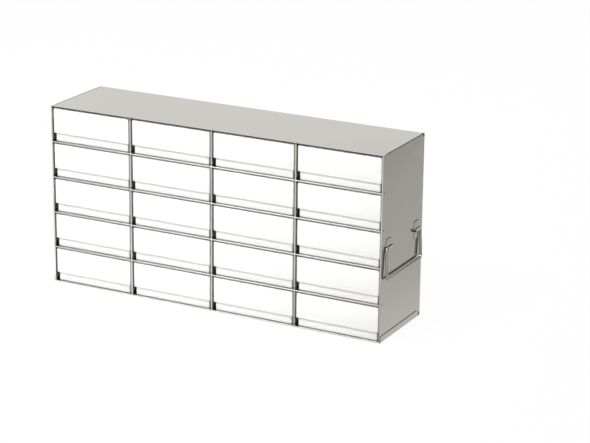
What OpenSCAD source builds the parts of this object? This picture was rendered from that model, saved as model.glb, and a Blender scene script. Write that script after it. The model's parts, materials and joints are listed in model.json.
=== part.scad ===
// Upright freezer storage rack: folded stainless sheet, open at the front, with a wire carrying bail
// on one end and a lidded cardboard storage box in each compartment.
// X runs along the rack towards the bail, -Y is the open side that the boxes slide out of, +Z is up.
// The origin is the centre of the flat underside.

/* [Storage boxes] */
// Side of the square lid, outside
lid_w = 133; // [125:0.5:150]
// Height of the closed box
box_h = 52; // [45:0.5:100]
// Height of the base that shows below the lid
base_show = 13.4; // [5:0.1:25]
// Thickness of the board
board_t = 1.5; // [0.8:0.1:2.5]
// Play between the base and the inside of the lid, each side
lid_play = 1; // [0.3:0.1:2]

/* [Compartments] */
// Compartments along the rack
bays = 4; // [2:1:4]
// Compartments up the rack
rows = 5; // [3:1:5]
// Play beside a box, each side
side_play = 2.7; // [2:0.1:6]
// Distance from the rack's front edges back to the lid
front_setback = 1.8; // [0:0.1:6]
// Play behind a box
rear_play = 4.3; // [1:0.1:10]
// Play above a box
head_play = 2; // [1:0.1:15]
// Air left under a box, so that two flat faces never bind
stand_off = 0.1; // [0.05:0.05:0.3]

/* [Sheet metal] */
// Thickness of the sheet
sheet_t = 0.95; // [0.7:0.05:1.2]
// Inside radius of a folded corner
bend_r = 0.5; // [0.3:0.1:0.6]
// How far a closed hem is folded back
hem_depth = 8; // [7.6:0.1:12]
// Height of the floor's flanges, outside the end panels
floor_flange_h = 10; // [6:0.5:20]
// Depth of the top's flanges, inside the end panels
top_flange_h = 10; // [6:0.5:20]
// How far the floor's flanges stop short of the rear
flange_setback = 12; // [8:0.5:20]
// Width of the rear returns that stop the boxes
return_w = 12; // [8:0.5:18]
// Side of the square relief cut in a side wall, beside the fold of its return
relief = 4; // [2.2:0.1:5]
// How far the top's rear corners are cut back from the end panels, to clear those folds
corner_cut = 2.4; // [1:0.1:5]
// Width of a front tab or ear
tab_w = 4.2; // [3:0.1:4.3]
// Distance of a front tab or ear from the front edge
tab_inset = 3; // [2.5:0.1:3.1]
// Play round a tab in its slot, and beside a notch
slot_play = 0.15; // [0.1:0.05:0.3]

/* [Carrying bail] */
// Diameter of the wire
wire_d = 4; // [3:0.1:5]
// Distance of each arm's centre from the near edge of the end panel
bail_inset = 11.5; // [10:0.5:20]
// Distance from the pivot down to the grip bar
bail_drop = 46; // [35:0.5:60]
// Centreline radius of the bail's lower corners
grip_corner_r = 5; // [4:0.1:10]
// Centreline radius where an arm turns in to its pivot
elbow_r = 3; // [2.7:0.1:4]
// Length of wire that lies straight in each clip
pivot_len = 14; // [8:0.5:15.5]
// Radial running play of the wire in its clip, and off the end panel
pivot_play = 0.08; // [0.04:0.01:0.1]
// Angle that the stored bail stands off the end panel
bail_lean = 2.7; // [1:0.1:6]

/* [Bail clips] */
// Width of a clip along its wire
clip_w = 16; // [15:0.5:20]
// Height of a clip, tip to tip
clip_h = 26.5; // [20:0.5:34]
// Thickness of the clip's strip
clip_t = 1; // [0.8:0.1:1.5]

/* [Hidden] */
$fn = 48;
steel = [0.74, 0.73, 0.71];
wire_steel = [0.82, 0.81, 0.79];
board = [0.97, 0.97, 0.96];
// Small overlap of a cutting shape past the face that it cuts
past = 1;
// Overlap of two shapes that join into one sheet
lap = sheet_t;

hem_t = 2 * sheet_t;
fold_r = bend_r + sheet_t;
base_w = lid_w - 2 * (board_t + lid_play);
base_h = box_h - board_t;
lid_h = box_h - base_show;

bay_w = lid_w + 2 * side_play;
bay_pitch = bay_w + sheet_t;
// Between the inner faces of the end panels, and over their outer faces
inner_l = bays * bay_w + (bays - 1) * sheet_t;
panel_l = inner_l + 2 * sheet_t;
rack_l = panel_l + 2 * sheet_t;
rack_d = front_setback + lid_w + rear_play + sheet_t;
row_pitch = hem_t + stand_off + box_h + head_play;
rack_h = rows * row_pitch + sheet_t;
front = -rack_d / 2;
rear = rack_d / 2;
// Where a shelf's rear edge stops, clear of the folds of the returns
shelf_rear = rear - sheet_t - bend_r;
box_y = front + front_setback + lid_w / 2;

wire_r = wire_d / 2;
bail_span = rack_d - 2 * bail_inset;
bore_r = wire_r + pivot_play;
clip_r = bore_r + clip_t;
pivot_x = panel_l / 2 + wire_r + pivot_play;
pivot_z = rack_h / 2;
clip_outer_y = bail_span / 2 - elbow_r;

function bay_x(bay) = (bay - (bays + 1) / 2) * bay_pitch;
function divider_x(i) = (i - bays / 2) * bay_pitch;
function deck_z(row) = (row - 1) * row_pitch + hem_t;
function compartment(row, bay) = str("r", row, "c", bay);

// A box from one corner to the opposite one
module block(low, high) {
    translate(low) cube(high - low);
}

// A profile drawn in X and Z, extruded along Y from one station to another
module along_y(from, to) {
    translate([0, to, 0]) rotate([90, 0, 0]) linear_extrude(to - from) children();
}

// A profile drawn in Y and Z, extruded along X from one station to another
module along_x(from, to) {
    translate([from, 0, 0]) rotate([90, 0, 90]) linear_extrude(to - from) children();
}

// A folded corner: a quarter ring in the quadrant where both coordinates are positive, with a
// short straight start at each end that lies inside the flat sheets it joins
module fold() {
    intersection() {
        difference() {
            circle(fold_r);
            circle(bend_r);
        }
        square(fold_r);
    }
    translate([bend_r, -lap]) square([sheet_t, lap]);
    translate([-lap, bend_r]) square([lap, sheet_t]);
}

// The edge strip of a closed hem: two layers thick, with a full round nose at the origin's side.
// It runs from 0 to the hem's depth, and its layers lie from 0 to the hem's thickness.
module hem_strip() {
    translate([sheet_t, sheet_t]) circle(sheet_t);
    translate([sheet_t, 0]) square([hem_depth - sheet_t, hem_t]);
}

// Side view, in Y and Z, of a level sheet with both long edges hemmed between two stations.
// The hems lie under the sheet when side is -1, and on it when side is 1.
module hemmed_sheet(from, to, side) {
    hem_z = side < 0 ? -sheet_t : 0;
    translate([from + sheet_t, 0]) square([to - from - hem_t, sheet_t]);
    translate([from, hem_z]) hem_strip();
    translate([to, hem_z]) mirror([1, 0]) hem_strip();
}

// The slots for the dividers' front tabs, through a level sheet
module tab_slots(low_z, high_z) {
    for (i = [1 : bays - 1]) {
        block([divider_x(i) - sheet_t / 2 - slot_play, front + tab_inset - slot_play, low_z - past],
              [divider_x(i) + sheet_t / 2 + slot_play, front + tab_inset + tab_w + slot_play, high_z + past]);
    }
}

// One folded flange along an end of a level sheet that is sheet_t thick from z = 0 up.
// The flange stands up at +X, with its outer face at x, and reaches the height h.
module end_flange(x, h) {
    translate([x - fold_r, fold_r]) mirror([0, 1]) fold();
    translate([x - sheet_t, fold_r]) square([sheet_t, h - fold_r]);
}

// Floor: hems folded onto the sheet, so that the underside is one flat face, and flanges
// that lap outside the end panels
module floor_panel() color(steel) {
    flange_from = front + sheet_t;
    flange_to = rear - flange_setback;
    difference() {
        union() {
            along_x(-rack_l / 2 + fold_r, rack_l / 2 - fold_r) hemmed_sheet(front, rear, 1);
            for (end = [0, 1]) mirror([end, 0, 0]) along_y(flange_from, flange_to)
                end_flange(rack_l / 2, floor_flange_h);
        }
        tab_slots(0, hem_t);
    }
}

// Top: a flat sheet whose end flanges fold down inside the end panels, behind their front hems,
// and whose rear corners are notched round the folds of the end panels' returns
module top_panel() color(steel) {
    flange_from = front + hem_depth + relief;
    flange_to = rear - fold_r - relief;
    notch_x = inner_l / 2 - corner_cut - slot_play;
    difference() {
        union() {
            block([-inner_l / 2 + fold_r, front, rack_h - sheet_t], [inner_l / 2 - fold_r, rear, rack_h]);
            for (end = [0, 1]) mirror([end, 0, 0]) {
                block([inner_l / 2 - fold_r - lap, front, rack_h - sheet_t],
                      [inner_l / 2, flange_from, rack_h]);
                along_y(flange_from, flange_to)
                    translate([0, rack_h]) mirror([0, 1]) end_flange(inner_l / 2, top_flange_h);
            }
        }
        tab_slots(rack_h - sheet_t, rack_h);
        for (end = [0, 1]) mirror([end, 0, 0])
            block([notch_x, flange_to, rack_h - sheet_t - past],
                  [inner_l / 2 + past, rear + past, rack_h + past]);
    }
}

// Plan view, in X and Y, of an upright sheet with its inner face at x = 0 and its body on the +X
// side: a front hem folded to -X, and a rear return folded to -X
module upright_plan() {
    translate([0, front + sheet_t]) circle(sheet_t);
    translate([0, front + sheet_t]) square([sheet_t, rack_d - sheet_t - fold_r]);
    translate([-sheet_t, front + sheet_t]) square([hem_t, hem_depth - sheet_t]);
    translate([-bend_r, rear - fold_r]) fold();
    translate([-return_w, rear - sheet_t]) square([return_w - bend_r, sheet_t]);
}

// End panel at +X: it stands on the floor's hems, its outer sheet and the fold at its rear rise
// flush with the top, and slots take the ears of the shelves
module end_panel() {
    return_edge = inner_l / 2 - return_w;
    fold_y = rear - fold_r;
    difference() {
        translate([inner_l / 2, 0, hem_t]) linear_extrude(rack_h - hem_t) upright_plan();
        // the hem's inner layer and the return stop under the top
        block([return_edge - past, front - past, rack_h - sheet_t], [inner_l / 2, fold_y, rack_h + past]);
        block([return_edge - past, fold_y - past, rack_h - sheet_t],
              [inner_l / 2 - corner_cut, rear + past, rack_h + past]);
        // reliefs in the side wall, beside the fold
        for (low_z = [hem_t - past, rack_h - relief]) {
            block([inner_l / 2 - past, fold_y - relief, low_z],
                  [panel_l / 2 + past, fold_y, low_z + relief + past]);
        }
        // slots for the ears of the shelves
        for (k = [1 : rows - 1]) {
            block([inner_l / 2 - sheet_t - past, front + tab_inset - slot_play,
                   deck_z(k + 1) - sheet_t - slot_play],
                  [panel_l / 2 + past, front + tab_inset + tab_w + slot_play, deck_z(k + 1) + slot_play]);
        }
    }
}

module end_panel_handle() color(steel) end_panel();

module end_panel_plain() color(steel) mirror([1, 0, 0]) end_panel();

// Divider: an upright with its front hem and rear return folded to +X, notched from the front
// to the middle at each shelf, with tabs through the floor and the top
module divider(i) color(steel) {
    tab_y = front + tab_inset;
    hem_clear = hem_depth + slot_play;
    difference() {
        union() {
            translate([divider_x(i) + sheet_t / 2, 0, sheet_t]) mirror([1, 0, 0])
                linear_extrude(rack_h - hem_t) upright_plan();
            block([divider_x(i) - sheet_t / 2, tab_y, 0],
                  [divider_x(i) + sheet_t / 2, tab_y + tab_w, rack_h]);
        }
        // the floor's front and rear hems
        for (side = [-1, 1]) {
            difference() {
                block([divider_x(i) - hem_t, side < 0 ? front - past : rear - hem_clear, -past],
                      [divider_x(i) + return_w + hem_t, side < 0 ? front + hem_clear : rear + past, hem_t]);
                block([divider_x(i) - sheet_t / 2, tab_y, -2 * past],
                      [divider_x(i) + sheet_t / 2, tab_y + tab_w, hem_t + past]);
            }
        }
        // notches for the shelves
        for (k = [1 : rows - 1]) {
            block([divider_x(i) - hem_t, front - past, deck_z(k + 1) - hem_t - slot_play],
                  [divider_x(i) + 2 * hem_t, slot_play, deck_z(k + 1) + slot_play]);
        }
    }
}

// Shelf: hems folded under both long edges, slots from the rear to the middle for the dividers,
// and an ear at each front corner that passes through the end panel
module shelf(k) color(steel) {
    top_z = deck_z(k + 1);
    hem_clear = hem_depth + slot_play;
    difference() {
        union() {
            translate([0, 0, top_z - sheet_t]) along_x(-inner_l / 2, inner_l / 2)
                hemmed_sheet(front, shelf_rear, -1);
            for (end = [0, 1]) mirror([end, 0, 0])
                block([inner_l / 2 - hem_t, front + tab_inset, top_z - sheet_t],
                      [panel_l / 2, front + tab_inset + tab_w, top_z]);
        }
        // corners cut back from the front hems of the end panels, round each ear
        for (end = [0, 1]) mirror([end, 0, 0]) difference() {
            block([inner_l / 2 - sheet_t - slot_play, front - past, top_z - hem_t - past],
                  [inner_l / 2 + past, front + hem_clear, top_z + past]);
            block([inner_l / 2 - hem_t, front + tab_inset, top_z - sheet_t],
                  [inner_l / 2 + 2 * past, front + tab_inset + tab_w, top_z]);
        }
        // slots for the dividers
        for (i = [1 : bays - 1]) {
            block([divider_x(i) - sheet_t / 2 - slot_play, -slot_play, top_z - hem_t - past],
                  [divider_x(i) + sheet_t / 2 + slot_play, rear, top_z + past]);
        }
    }
}

// Side view, in X and Z from the pivot, of the omega clip that holds the bail to the end panel
module clip_profile() {
    wall_x = -bore_r;
    difference() {
        union() {
            circle(clip_r);
            translate([wall_x, -clip_r]) square([bore_r, 2 * clip_r]);
            translate([wall_x, -clip_h / 2]) square([clip_t, clip_h]);
            for (up = [0, 1]) mirror([0, up]) difference() {
                translate([wall_x + clip_t, clip_r]) square(bend_r);
                translate([wall_x + clip_t + bend_r, clip_r + bend_r]) circle(bend_r);
            }
        }
        circle(bore_r);
        translate([wall_x - past, -bore_r]) square([bore_r + past, 2 * bore_r]);
        for (up = [0, 1]) mirror([0, up]) difference() {
            translate([wall_x - past, bore_r - past]) square([bend_r + past, bend_r + past]);
            translate([wall_x + bend_r, bore_r + bend_r]) circle(bend_r);
            translate([wall_x + bend_r, bore_r]) square(bend_r);
        }
    }
}

module handle_clip(side) color(steel) {
    inner_y = clip_outer_y - clip_w;
    translate([pivot_x, 0, pivot_z]) {
        if (side < 0) along_y(-clip_outer_y, -inner_y) clip_profile();
        else along_y(inner_y, clip_outer_y) clip_profile();
    }
}

module handle_clip_front() handle_clip(-1);

module handle_clip_rear() handle_clip(1);

// A quarter bend of the wire in the Y-Z plane about a centre, starting at the given angle
module wire_bend(centre, radius, start) {
    translate([0, centre[0], centre[1]]) rotate([90, 0, 90]) rotate([0, 0, start])
        rotate_extrude(angle = 90) translate([radius, 0]) circle(wire_r);
}

// Half of the bail from its middle to the pivot at +Y, drawn hanging straight down from the origin
module bail_half() {
    arm_y = bail_span / 2;
    grip_z = -bail_drop;
    translate([0, arm_y - elbow_r - pivot_len, 0]) rotate([-90, 0, 0]) cylinder(h = pivot_len, r = wire_r);
    wire_bend([arm_y - elbow_r, -elbow_r], elbow_r, 0);
    translate([0, arm_y, grip_z + grip_corner_r])
        cylinder(h = bail_drop - grip_corner_r - elbow_r, r = wire_r);
    wire_bend([arm_y - grip_corner_r, grip_z + grip_corner_r], grip_corner_r, -90);
    translate([0, 0, grip_z]) rotate([-90, 0, 0]) cylinder(h = arm_y - grip_corner_r, r = wire_r);
}

// Bail: one length of round wire whose ends turn in to lie under the clips
module handle_bail() color(wire_steel) {
    translate([pivot_x, 0, pivot_z]) rotate([0, -bail_lean, 0]) {
        bail_half();
        mirror([0, 1, 0]) bail_half();
    }
}

// Plan view of a folded board box: its upright corners turn on the thickness of the board
module board_outline(width) {
    corner = width / 2 - board_t;
    for (x = [-corner, corner], y = [-corner, corner]) translate([x, y]) circle(board_t);
    square([width, 2 * corner], center = true);
    square([2 * corner, width], center = true);
}

// Base of a storage box: an open tray
module box_base(row, bay) color(board) {
    translate([bay_x(bay), box_y, deck_z(row) + stand_off]) difference() {
        linear_extrude(base_h) board_outline(base_w);
        translate([0, 0, board_t]) linear_extrude(base_h) square(base_w - 2 * board_t, center = true);
    }
}

// Lid of a storage box: it rests on the base's rim and hangs down round it
module box_lid(row, bay) color(board) {
    translate([bay_x(bay), box_y, deck_z(row) + stand_off + base_show]) difference() {
        linear_extrude(lid_h) board_outline(lid_w);
        translate([0, 0, -board_t]) linear_extrude(lid_h) square(lid_w - 2 * board_t, center = true);
    }
}

floor_panel();
top_panel();
end_panel_handle();
end_panel_plain();
for (i = [1 : bays - 1]) {
    divider(i);
}
for (k = [1 : rows - 1]) {
    shelf(k);
}
handle_clip_front();
handle_clip_rear();
handle_bail();
for (row = [1 : rows], bay = [1 : bays]) {
    box_base(row, bay);
    box_lid(row, bay);
}
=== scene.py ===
import json
import math

import bpy
from mathutils import Matrix, Quaternion, Vector


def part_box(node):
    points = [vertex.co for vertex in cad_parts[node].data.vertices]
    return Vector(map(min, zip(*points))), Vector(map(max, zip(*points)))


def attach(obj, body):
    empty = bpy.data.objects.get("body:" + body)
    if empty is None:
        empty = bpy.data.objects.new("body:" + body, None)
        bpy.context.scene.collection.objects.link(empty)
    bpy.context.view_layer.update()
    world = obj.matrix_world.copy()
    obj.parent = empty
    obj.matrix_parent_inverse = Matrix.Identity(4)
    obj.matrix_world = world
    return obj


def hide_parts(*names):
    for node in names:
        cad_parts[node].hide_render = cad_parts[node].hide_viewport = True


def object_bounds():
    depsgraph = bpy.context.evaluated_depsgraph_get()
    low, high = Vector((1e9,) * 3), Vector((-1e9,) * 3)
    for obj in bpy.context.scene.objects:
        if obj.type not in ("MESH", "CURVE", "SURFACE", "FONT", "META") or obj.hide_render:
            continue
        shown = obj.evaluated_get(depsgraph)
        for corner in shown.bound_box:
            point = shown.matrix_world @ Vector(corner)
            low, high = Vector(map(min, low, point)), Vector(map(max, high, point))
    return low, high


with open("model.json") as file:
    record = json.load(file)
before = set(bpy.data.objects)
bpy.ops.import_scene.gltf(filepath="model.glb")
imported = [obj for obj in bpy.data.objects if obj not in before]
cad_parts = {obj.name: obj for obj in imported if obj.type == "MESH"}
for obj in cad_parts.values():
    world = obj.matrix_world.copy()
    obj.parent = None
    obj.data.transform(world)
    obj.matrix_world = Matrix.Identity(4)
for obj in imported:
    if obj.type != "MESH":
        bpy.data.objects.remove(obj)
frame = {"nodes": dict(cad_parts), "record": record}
nodes = frame["nodes"]
cad_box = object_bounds()

# --- Camera -------------------------------------------------------------------------------
# A long lens stands to the right of the open side and a little above it, so that the fronts of
# the boxes, the top and the end with the bail all show, and upright edges stay nearly upright.
MM = 0.001
aim = Vector((103.7, 0, 137.8)) * MM
azimuth = math.radians(27.43)
elevation = math.radians(17.80)
roll = math.radians(0.61)
distance = 3206.7 * MM

back = Vector((
    math.sin(azimuth) * math.cos(elevation),
    -math.cos(azimuth) * math.cos(elevation),
    math.sin(elevation),
))
turn = back.to_track_quat("Z", "Y") @ Quaternion((0, 0, 1), roll)
bpy.ops.object.camera_add(location=aim + back * distance, rotation=turn.to_euler())
camera = bpy.context.active_object
camera.data.lens = 131.75
camera.data.sensor_width = 36
bpy.context.scene.camera = camera

# --- Studio -------------------------------------------------------------------------------
# A white table under a white surround, and one broad soft lamp high over the open side. In
# reflections the table shows a painted pool of light from the front left, and three cards show
# that are else unseen.
TABLE_SIDE = 12
UNDER_THE_RACK = 0.05 * MM
RACK_MIDDLE = Vector((0, 0, 0.14))


def linear(hex_code):
    """The linear colour of an sRGB hex value such as "#ccc9c1"."""
    channels = [int(hex_code[i:i + 2], 16) / 255 for i in (1, 3, 5)]
    made = [c / 12.92 if c <= 0.04045 else ((c + 0.055) / 1.055) ** 2.4 for c in channels]
    return (*made, 1)


def add_node(tree, kind, settings=None, **links):
    """Adds a node, sets its properties or sockets, and links other nodes' outputs into it."""
    made = tree.nodes.new(kind)
    for key, value in (settings or {}).items():
        if hasattr(made, str(key)):
            setattr(made, key, value)
        else:
            made.inputs[key].default_value = value
    for key, output in links.items():
        place = int(key[1:]) if key[1:].isdigit() else key.replace("_", " ")
        tree.links.new(output, made.inputs[place])
    return made


# the surround looks plain white; the light that it gives comes from overhead on the left, with
# some more from behind the rack
world = bpy.data.worlds.new("white_surround")
world.use_nodes = True
bpy.context.scene.world = world
tree = world.node_tree
tree.nodes.clear()
ray = add_node(tree, "ShaderNodeLightPath")
looks = add_node(tree, "ShaderNodeMath", {"operation": "MAXIMUM"},
                 i0=ray.outputs["Is Camera Ray"], i1=ray.outputs["Is Glossy Ray"])
looks = add_node(tree, "ShaderNodeMath", {"operation": "MAXIMUM"},
                 i0=looks.outputs[0], i1=ray.outputs["Is Transmission Ray"])
towards = add_node(tree, "ShaderNodeSeparateXYZ", None,
                   Vector=add_node(tree, "ShaderNodeTexCoord").outputs["Generated"])
overhead = add_node(tree, "ShaderNodeMapRange", {
    "interpolation_type": "SMOOTHSTEP",
    "From Min": 0.5, "From Max": 0.95, "To Min": 0.06, "To Max": 1.8,
}, Value=towards.outputs["Z"])
leftward = add_node(tree, "ShaderNodeMapRange", {
    "interpolation_type": "SMOOTHSTEP",
    "From Min": -0.3, "From Max": 0.4, "To Min": 1.0, "To Max": 0.08,
}, Value=towards.outputs["X"])
sky = add_node(tree, "ShaderNodeMath", {"operation": "MULTIPLY"},
               i0=overhead.outputs[0], i1=leftward.outputs[0])
behind = add_node(tree, "ShaderNodeMapRange", {"From Min": 0.1, "From Max": 0.7, "To Max": 0.45},
                  Value=towards.outputs["Y"])
sky = add_node(tree, "ShaderNodeMath", {"operation": "MAXIMUM"},
               i0=sky.outputs[0], i1=behind.outputs[0])
level = add_node(tree, "ShaderNodeMix", {"data_type": "FLOAT", 3: 1.0},
                 i0=looks.outputs[0], i2=sky.outputs[0])
glow = add_node(tree, "ShaderNodeBackground", {"Color": (1, 1, 1, 1)}, Strength=level.outputs[0])
add_node(tree, "ShaderNodeOutputWorld", Surface=glow.outputs[0])

bpy.ops.mesh.primitive_plane_add(size=TABLE_SIDE, location=(0, 0, -UNDER_THE_RACK))
table = bpy.context.active_object
table.name = "table_top"
paint = bpy.data.materials.new("white_table_paint_and_painted_light")
paint.use_nodes = True
tree = paint.node_tree
tree.nodes.clear()
# painted light: the table's glow as reflections see it, bright at the front left and falling off
# across the table
spot = add_node(tree, "ShaderNodeTexCoord").outputs["Object"]
place = add_node(tree, "ShaderNodeMapping", {"Rotation": (0, 0, math.radians(-25))}, Vector=spot)
across = add_node(tree, "ShaderNodeSeparateXYZ", None, Vector=place.outputs[0]).outputs["X"]
along = add_node(tree, "ShaderNodeMapRange", {"From Min": -0.3, "From Max": 1.2}, Value=across)
lit = add_node(tree, "ShaderNodeValToRGB", None, Fac=along.outputs[0])
ramp = lit.color_ramp
ramp.interpolation = "EASE"
ramp.elements[0].position, ramp.elements[1].position = 0.05, 1.0
ramp.elements[0].color = linear("#f4faff")
ramp.elements[1].color = (0.265, 0.265, 0.265, 1)
for stop, value in ((0.34, 0.42), (0.55, 0.32)):
    ramp.elements.new(stop).color = (value, value, value, 1)

# the painted light is dim to the far left, beside the rack, where the light has not reached
corner = add_node(tree, "ShaderNodeSeparateXYZ", None, Vector=spot)
beside = add_node(tree, "ShaderNodeMapRange", {
    "From Min": -0.6, "From Max": -0.35, "To Min": 0.15, "To Max": 1.0}, Value=corner.outputs["X"])
ahead = add_node(tree, "ShaderNodeMapRange", {
    "From Min": -0.5, "From Max": -0.25, "To Min": 1.0, "To Max": 0.15}, Value=corner.outputs["Y"])
outlying = add_node(tree, "ShaderNodeMapRange", {
    "From Min": -0.95, "From Max": -0.6, "To Min": 0.4, "To Max": 1.0}, Value=corner.outputs["X"])
ahead = add_node(tree, "ShaderNodeMath", {"operation": "MINIMUM"},
                 i0=ahead.outputs[0], i1=outlying.outputs[0])
reach = add_node(tree, "ShaderNodeMath", {"operation": "MAXIMUM"},
                 i0=beside.outputs[0], i1=ahead.outputs[0])

# an even painted half light to the left of the rack, from its open side backwards
left = add_node(tree, "ShaderNodeMapRange", {
    "From Min": -0.28, "From Max": -0.2, "To Min": 1.0, "To Max": 0.0}, Value=corner.outputs["X"])
rear = add_node(tree, "ShaderNodeMapRange", {"From Min": -0.07, "From Max": 0.0},
                Value=corner.outputs["Y"])
left_rear = add_node(tree, "ShaderNodeMath", {"operation": "MULTIPLY"},
                     i0=left.outputs[0], i1=rear.outputs[0])
reach = add_node(tree, "ShaderNodeMix", {"data_type": "FLOAT", 3: 0.42},
                 i0=left_rear.outputs[0], i2=reach.outputs[0])
strength = add_node(tree, "ShaderNodeMath", {"operation": "MULTIPLY", 1: 2.0}, i0=reach.outputs[0])
seen = add_node(tree, "ShaderNodeEmission", None, Color=lit.outputs[0], Strength=strength.outputs[0])

# to the camera it is white, with a little of the matt paint that keeps the rack's shadow
# the matt paint is painted darker towards the right: painted shade that cuts the light it bounces
# onto the rack's right side
bounce = add_node(tree, "ShaderNodeMapRange", {
    "From Min": 0, "From Max": 0.6, "To Min": 0.92, "To Max": 0.7}, Value=corner.outputs["X"])
matt = add_node(tree, "ShaderNodeBsdfDiffuse", None, Color=bounce.outputs[0])
white = add_node(tree, "ShaderNodeEmission", {"Color": (1, 1, 1, 1), "Strength": 1.0})
ray = add_node(tree, "ShaderNodeLightPath")
share = add_node(tree, "ShaderNodeMath", {"operation": "MULTIPLY", 1: 0.96},
                 i0=ray.outputs["Is Camera Ray"])
both = add_node(tree, "ShaderNodeMixShader", None, Fac=share.outputs[0],
                i1=matt.outputs[0], i2=white.outputs[0])
both = add_node(tree, "ShaderNodeMixShader", None, Fac=ray.outputs["Is Glossy Ray"],
                i1=both.outputs[0], i2=seen.outputs[0])
add_node(tree, "ShaderNodeOutputMaterial", Surface=both.outputs[0])
table.data.materials.append(paint)

lamp_place = Vector((-0.6, -2.3, 3.35))
lamp_turn = (lamp_place - RACK_MIDDLE).to_track_quat("Z", "Y").to_euler()
bpy.ops.object.light_add(type="AREA", location=lamp_place, rotation=lamp_turn)
lamp = bpy.context.active_object
lamp.name = "front_softbox"
lamp.data.size = 1.1
lamp.data.energy = 132
lamp.visible_glossy = False


def card(name, place, tilt, heading, width, height, colour, strength):
    """A card tilted up from lying flat and turned about the upright, both in degrees."""
    bpy.ops.mesh.primitive_plane_add(
        size=1, location=place, rotation=(math.radians(tilt), 0, math.radians(heading)))
    made = bpy.context.active_object
    made.name = name
    made.scale = (width, height, 1)
    made.visible_camera = made.visible_diffuse = made.visible_shadow = False
    face = bpy.data.materials.new(name)
    face.use_nodes = True
    tree = face.node_tree
    tree.nodes.clear()
    shine = add_node(tree, "ShaderNodeEmission", {"Color": linear(colour), "Strength": strength})
    add_node(tree, "ShaderNodeOutputMaterial", Surface=shine.outputs[0])
    made.data.materials.append(face)


# a dark one behind, a cool one that lights the noses of the hems, and a small bright one that
# glints in the bends of the wire
card("black_card", (0.45, 3, 2.15), tilt=90, heading=0, width=3.5, height=1.1,
     colour="#232220", strength=1)
card("cool_card", (-1.75, -1.6, 3.36), tilt=36, heading=-48, width=1.1, height=1.1,
     colour="#dce9ff", strength=9.6)
card("glint_card", (1.485, -2.06, 3.38), tilt=36, heading=31, width=0.35, height=0.35,
     colour="#ffffff", strength=220)

# --- Folded stainless sheets --------------------------------------------------------------
# Floor, top, ends, dividers and shelves are laser cut from 0.95 mm stainless sheet with a fine
# ground finish, and folded. Their cut edges keep a dull dark skin. The bend in the welded seam of
# the top at the bail's end takes the same dark colour as painted shade, while the other seam is
# ground bright.
SHEET_T = 0.95 * MM
HEM_T = 2 * SHEET_T
FOLD_R = 1.45 * MM
MERGE = 0.001 * MM

# how much of a face's normal lies along an axis, when the face is square to it, about square to
# it, or still turned towards it a little
SQUARE = 0.999
NEAR_SQUARE = 0.99
SLANTED = 0.1


def open_for_edit(piece, mode="FACE", everything=True):
    """Opens one piece in edit mode, with all of it selected or nothing."""
    bpy.ops.object.select_all(action="DESELECT")
    piece.select_set(True)
    bpy.context.view_layer.objects.active = piece
    bpy.ops.object.mode_set(mode="EDIT")
    bpy.ops.mesh.select_mode(type=mode)
    bpy.ops.mesh.select_all(action="SELECT" if everything else "DESELECT")


def take_over(name, body, materials):
    """A merged copy of a CAD node, which stands for it, with the dark skin on its cut edges."""
    piece = bpy.data.objects.new(name + "_finished", nodes[name].data.copy())
    bpy.context.scene.collection.objects.link(piece)
    open_for_edit(piece)
    bpy.ops.mesh.customdata_custom_splitnormals_clear()
    bpy.ops.mesh.remove_doubles(threshold=MERGE)
    bpy.ops.mesh.dissolve_limited(angle_limit=math.radians(0.5))
    bpy.ops.object.mode_set(mode="OBJECT")
    piece.data.materials.clear()
    for material in materials:
        piece.data.materials.append(material)

    # a cut edge is a flat narrow strip, as wide as one sheet or a hem
    for face in piece.data.polygons:
        corners = [piece.data.vertices[i].co for i in face.vertices]
        spans = sorted(max(c[axis] for c in corners) - min(c[axis] for c in corners)
                       for axis in range(3))
        square_on = max(abs(v) for v in face.normal) > SQUARE
        narrow = 0.8 * SHEET_T < spans[1] < 1.1 * HEM_T
        face.material_index = 1 if square_on and narrow else 0
    bpy.ops.object.shade_smooth_by_angle(angle=math.radians(30))
    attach(piece, body)
    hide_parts(name)


def satin_stainless(name, grain_along, low, high):
    """Cold-rolled stainless, finely ground in one direction: a soft grey mirror."""
    made = bpy.data.materials.new(name)
    made.use_nodes = True
    tree = made.node_tree
    metal = tree.nodes["Principled BSDF"]
    metal.inputs["Metallic"].default_value = 1
    place = add_node(tree, "ShaderNodeTexCoord").outputs["Object"]
    grain_pitch = 0.6 * MM
    grain_length = 60 * MM
    cloud_width = 90 * MM
    scale = [1 / grain_pitch] * 3
    scale["XYZ".index(grain_along)] = 1 / grain_length
    stretched = add_node(tree, "ShaderNodeMapping", {"Scale": scale}, Vector=place)
    grain = add_node(tree, "ShaderNodeTexNoise", {"Scale": 1, "Detail": 3, "Roughness": 0.6},
                     Vector=stretched.outputs[0])
    cloud = add_node(tree, "ShaderNodeTexNoise", {"Scale": 1 / cloud_width, "Detail": 2},
                     Vector=place)
    tone = add_node(tree, "ShaderNodeMix", {
        "data_type": "RGBA", 6: linear("#bab6af"), 7: linear("#bfbbb4")}, Factor=grain.outputs[0])
    tree.links.new(tone.outputs[2], metal.inputs["Base Color"])
    dull = add_node(tree, "ShaderNodeMapRange", {"To Min": low, "To Max": high},
                    Value=cloud.outputs[0])
    tree.links.new(dull.outputs[0], metal.inputs["Roughness"])
    bump = add_node(tree, "ShaderNodeBump", {"Strength": 0.05, "Distance": 0.02 * MM},
                    Height=grain.outputs[0])
    tree.links.new(bump.outputs[0], metal.inputs["Normal"])
    return made


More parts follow.
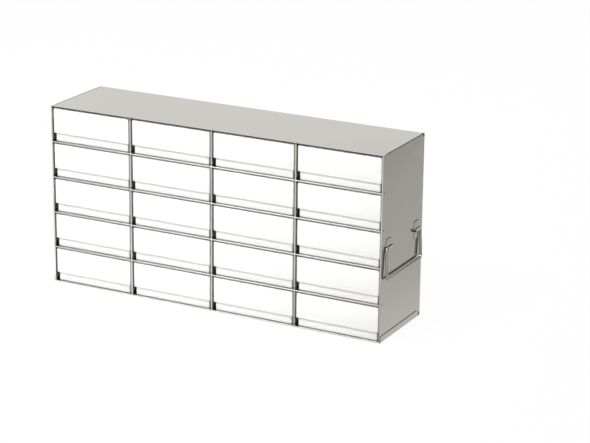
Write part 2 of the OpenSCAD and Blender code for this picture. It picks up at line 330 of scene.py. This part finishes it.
def cut_edge_and_seam_shade_skin():
    """A laser-cut edge: dull dark grey, with the fine marks of the cut across the sheet. Laid on the
    top's welded seam too, it is painted shade.
    """
    made = bpy.data.materials.new("laser_cut_edge_and_seam_shade")
    made.use_nodes = True
    tree = made.node_tree
    skin = tree.nodes["Principled BSDF"]
    skin.inputs["Metallic"].default_value = 1
    skin.inputs["Roughness"].default_value = 0.6
    mark_pitch = 0.4 * MM
    marks = add_node(tree, "ShaderNodeTexNoise", {"Scale": 1 / mark_pitch, "Detail": 2},
                     Vector=add_node(tree, "ShaderNodeTexCoord").outputs["Object"])
    tone = add_node(tree, "ShaderNodeMix", {
        "data_type": "RGBA", 6: linear("#2b2a28"), 7: linear("#3b3936")}, Factor=marks.outputs[0])
    tree.links.new(tone.outputs[2], skin.inputs["Base Color"])
    return made


lengthwise = satin_stainless("satin_stainless_lengthwise", "X", 0.10, 0.15)
upright = satin_stainless("satin_stainless_upright", "Z", 0.07, 0.11)
cut_edge_and_seam_shade = cut_edge_and_seam_shade_skin()
for name in nodes:
    if name.startswith(("floor_", "top_", "shelf_")):
        take_over(name, "rack", (lengthwise, cut_edge_and_seam_shade))
    if name.startswith(("end_panel", "divider")):
        take_over(name, "rack", (upright, cut_edge_and_seam_shade))

# the bend of the top's fold at the bail's end, down in the welded seam, takes the dark cut-edge
# colour: painted shade of the seam's crevice
top = bpy.data.objects["top_panel_finished"]
seam_shade_start = max(v.co.x for v in top.data.vertices) - FOLD_R
for face in top.data.polygons:
    if face.center.x > seam_shade_start and SLANTED < face.normal.z < NEAR_SQUARE:
        face.material_index = 1

# the top edge of the plain end, ground bright with its seam
for face in bpy.data.objects["end_panel_plain_finished"].data.polygons:
    if face.normal.z > NEAR_SQUARE and face.center.z > cad_box[1][2] - HEM_T:
        face.material_index = 0

# --- Bail clips ---------------------------------------------------------------------------
# Two strips of the same stainless, each pressed into an omega over the wire and spot welded to the
# end panel by its two feet.
for name in nodes:
    if name.startswith("handle_clip"):
        take_over(name, "rack", (upright, cut_edge_and_seam_shade))

# --- Carrying bail ------------------------------------------------------------------------
# One length of 4 mm bright drawn stainless wire, bent cold: two arms, a level grip, and ends that
# turn in to lie under the clips. It hangs from its pivot and leans out a little.
WIRE_R = 2 * MM
WIRE_SIDES = 24
WIRE_END_EASE = 0.4 * MM
PIVOT_LENGTH = 14 * MM
ELBOW_R = 3 * MM
GRIP_CORNER_R = 5 * MM
BEND_STEPS = 10
BAIL_LEAN = math.radians(2.7)

hinge = next(j for j in frame["record"]["behaviour"]["joints"] if j["name"] == "bail_hinge")
pivot = Vector(hinge["pos_m"])
bail_low, bail_high = (Vector(c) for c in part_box("handle_bail"))
arm_y = bail_high.y - WIRE_R
grip_z = -(pivot.z - bail_low.z - WIRE_R) / math.cos(BAIL_LEAN)

bpy.ops.object.select_all(action="DESELECT")
bpy.ops.mesh.primitive_circle_add(
    vertices=WIRE_SIDES, radius=WIRE_R, fill_type="NGON",
    location=(0, arm_y - ELBOW_R - PIVOT_LENGTH, 0), rotation=(math.radians(90), 0, 0))
bail = bpy.context.active_object
bail.name = "carrying_bail"
bpy.ops.object.transform_apply()
open_for_edit(bail)


def draw_on(x, y, z):
    """Runs the wire straight on."""
    bpy.ops.mesh.extrude_region_move(TRANSFORM_OT_translate={"value": (x, y, z)})


def turn_down(centre_y, centre_z):
    """Bends the wire a quarter turn about a line along X, down and then inwards."""
    bpy.ops.mesh.spin(steps=BEND_STEPS, angle=math.radians(90), center=(0, centre_y, centre_z),
                      axis=(1, 0, 0))


def finish_with(piece, kind, **settings):
    """Adds one modifier with its settings and applies it."""
    bpy.ops.object.select_all(action="DESELECT")
    piece.select_set(True)
    bpy.context.view_layer.objects.active = piece
    modifier = piece.modifiers.new(kind.lower(), kind)
    for key, value in settings.items():
        setattr(modifier, key, value)
    bpy.ops.object.modifier_apply(modifier=modifier.name)


draw_on(0, PIVOT_LENGTH, 0)
turn_down(arm_y - ELBOW_R, -ELBOW_R)
draw_on(0, 0, grip_z + GRIP_CORNER_R + ELBOW_R)
turn_down(arm_y - GRIP_CORNER_R, grip_z + GRIP_CORNER_R)
draw_on(0, GRIP_CORNER_R - arm_y, 0)
bpy.ops.mesh.delete(type="ONLY_FACE")
bpy.ops.object.mode_set(mode="OBJECT")
finish_with(bail, "MIRROR", use_axis=(False, True, False), merge_threshold=0.01 * MM)
open_for_edit(bail)
bpy.ops.mesh.remove_doubles(threshold=MERGE)
bpy.ops.mesh.normals_make_consistent(inside=False)
bpy.ops.object.mode_set(mode="OBJECT")
finish_with(bail, "BEVEL", width=WIRE_END_EASE, segments=3, limit_method="ANGLE",
            angle_limit=math.radians(60))
bail.location = pivot
bail.rotation_euler = (0, -BAIL_LEAN, 0)
bpy.ops.object.transform_apply()
bpy.ops.object.shade_smooth_by_angle(angle=math.radians(50))

# bright drawn stainless: the die leaves a soft mirror, a little darker than the ground sheet,
# with faint duller patches
drawn_wire = bpy.data.materials.new("bright_drawn_wire")
drawn_wire.use_nodes = True
tree = drawn_wire.node_tree
metal = tree.nodes["Principled BSDF"]
metal.inputs["Metallic"].default_value = 1
metal.inputs["Base Color"].default_value = linear("#a5a39e")
patch_width = 3 * MM
patches = add_node(tree, "ShaderNodeTexNoise", {"Scale": 1 / patch_width, "Detail": 2},
                   Vector=add_node(tree, "ShaderNodeTexCoord").outputs["Object"])
dull = add_node(tree, "ShaderNodeMapRange", {"To Min": 0.12, "To Max": 0.2},
                Value=patches.outputs[0])
tree.links.new(dull.outputs[0], metal.inputs["Roughness"])
bail.data.materials.append(drawn_wire)
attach(bail, "bail")
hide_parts("handle_bail")

# --- Storage boxes ------------------------------------------------------------------------
# Two folded shells of 1.5 mm white boxboard with a moisture-repellent coat: a base, and a lid that
# drops over it. Folded edges are softly rounded, and the cut rims show the greyer pulp inside.
BOARD_T = 1.5 * MM
BOARD_FOLD_R = 1.3 * MM
RIM_EASE = 0.2 * MM
TOUCH = 0.1 * MM


def coated_board(name, bright, dim):
    """Coated boxboard: matt white with a faint cloudiness and a fine fibre texture."""
    made = bpy.data.materials.new(name)
    made.use_nodes = True
    tree = made.node_tree
    coat = tree.nodes["Principled BSDF"]
    coat.inputs["Roughness"].default_value = 0.55
    place = add_node(tree, "ShaderNodeTexCoord").outputs["Object"]
    cloud_width = 12 * MM
    cloud = add_node(tree, "ShaderNodeTexNoise", {"Scale": 1 / cloud_width, "Detail": 3},
                     Vector=place)
    tone = add_node(tree, "ShaderNodeMix", {"data_type": "RGBA", 6: linear(dim), 7: linear(bright)},
                    Factor=cloud.outputs[0])
    tree.links.new(tone.outputs[2], coat.inputs["Base Color"])
    fibre_length = 0.9 * MM
    fibres = add_node(tree, "ShaderNodeTexNoise", {
        "Scale": 1 / fibre_length, "Detail": 4, "Distortion": 1.5}, Vector=place)
    bump = add_node(tree, "ShaderNodeBump", {"Strength": 0.12, "Distance": 0.03 * MM},
                    Height=fibres.outputs[0])
    tree.links.new(bump.outputs[0], coat.inputs["Normal"])
    return made


board = coated_board("coated_boxboard", "#fbfbf9", "#f7f7f4")
pulp = coated_board("boxboard_pulp_edge", "#dcdad3", "#cfccc4")


def board_shell(name, node, open_side):
    """A folded board shell of one node's size, open at its top (1) or bottom (-1)."""
    low, high = (Vector(c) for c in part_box(node))
    rim_z = high.z if open_side > 0 else low.z
    bpy.ops.object.select_all(action="DESELECT")
    bpy.ops.mesh.primitive_cube_add(size=1, location=(low + high) / 2)
    shell = bpy.context.active_object
    shell.name = name
    shell.scale = high - low
    bpy.ops.object.transform_apply()
    open_for_edit(shell, everything=False)
    bpy.ops.object.mode_set(mode="OBJECT")
    for face in shell.data.polygons:
        face.select = face.normal.z * open_side > NEAR_SQUARE
    bpy.ops.object.mode_set(mode="EDIT")
    bpy.ops.mesh.delete(type="FACE")
    bpy.ops.object.mode_set(mode="OBJECT")
    shell.data.materials.append(board)
    shell.data.materials.append(pulp)
    finish_with(shell, "SOLIDIFY", thickness=BOARD_T, offset=-1, use_even_offset=True,
                material_offset_rim=1)

    def at_outer_corner(point):
        """Whether a point lies on one of the four upright outer corners."""
        gaps = [min(point[axis] - low[axis], high[axis] - point[axis]) for axis in (0, 1)]
        return max(gaps) < TOUCH

    # the outer folds: the four upright ones and those round the closed side
    open_for_edit(shell, "EDGE", everything=False)
    bpy.ops.object.mode_set(mode="OBJECT")
    for edge in shell.data.edges:
        ends = [shell.data.vertices[i].co for i in edge.vertices]
        on_rim = all(abs(end.z - rim_z) < TOUCH for end in ends)
        edge.select = all(at_outer_corner(end) for end in ends) and not on_rim
    bpy.ops.object.mode_set(mode="EDIT")
    bpy.ops.mesh.bevel(offset=BOARD_FOLD_R, segments=4)
    bpy.ops.object.mode_set(mode="OBJECT")
    finish_with(shell, "BEVEL", width=RIM_EASE, segments=2, limit_method="ANGLE",
                angle_limit=math.radians(60))
    bpy.ops.object.shade_smooth_by_angle(angle=math.radians(35))
    return shell


first = "r1c1"
patterns = {
    "box_base_": board_shell("base_pattern", "box_base_" + first, 1),
    "box_lid_": board_shell("lid_pattern", "box_lid_" + first, -1),
}
for kind, pattern in patterns.items():
    start = Vector(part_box(kind + first)[0])
    for name in [n for n in nodes if n.startswith(kind)]:
        piece = bpy.data.objects.new(name + "_finished", pattern.data.copy())
        bpy.context.scene.collection.objects.link(piece)
        piece.data.transform(Matrix.Translation(Vector(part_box(name)[0]) - start))
        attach(piece, "box_" + name.removeprefix(kind))
        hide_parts(name)
    bpy.data.objects.remove(pattern)

bpy.context.scene.view_settings.view_transform = "Standard"
